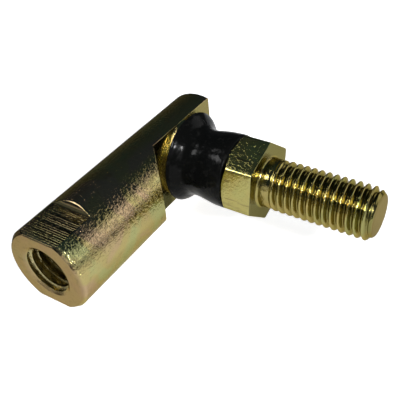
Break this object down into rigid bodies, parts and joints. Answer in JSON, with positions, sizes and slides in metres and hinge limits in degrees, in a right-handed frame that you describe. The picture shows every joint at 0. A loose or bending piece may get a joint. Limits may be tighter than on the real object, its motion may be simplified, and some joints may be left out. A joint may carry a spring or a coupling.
{
  "type": "studded rod end bearing",
  "caption": "Right-angle rod end bearing: round threaded housing, captive ball stud with hexagon and male thread, rubber boot.",
  "frame": {"origin": "centre of the ball", "axes": "-Y out of the threaded hole along the bar, +X along the stud, +Z normal to a wrench flat on the bar"},
  "size_m": [0.062, 0.0583, 0.022],
  "materials": {
    "yellow_zinc_steel": "yellow chromated zinc plating, satin to bright",
    "bare_steel": "plain",
    "seat_polymer": "natural",
    "boot_rubber": "gloss black"
  },
  "bodies": {
    "housing": {"housing": "yellow_zinc_steel", "lower_seat": "seat_polymer", "upper_seat": "seat_polymer", "preload_spring": "bare_steel", "retaining_ring": "bare_steel", "boot_base_ring": "bare_steel"},
    "boot": {"dust_boot": "boot_rubber"},
    "neck": {"boot_neck_ring": "bare_steel"},
    "stud": {"ball_stud": "yellow_zinc_steel"}
  },
  "joints": [
    {"name": "stud_swing_z", "type": "hinge", "parent": "housing", "child": "boot", "pos_m": [0, 0, 0], "axis": [0, 0, 1], "range_deg": [-15, 15], "deforming": ["dust_boot"]},
    {"name": "stud_swing_y", "type": "hinge", "parent": "boot", "child": "neck", "pos_m": [0, 0, 0], "axis": [0, 1, 0], "range_deg": [-15, 15]},
    {"name": "stud_spin", "type": "hinge", "parent": "neck", "child": "stud", "pos_m": [0, 0, 0], "axis": [1, 0, 0], "continuous": true}
  ]
}
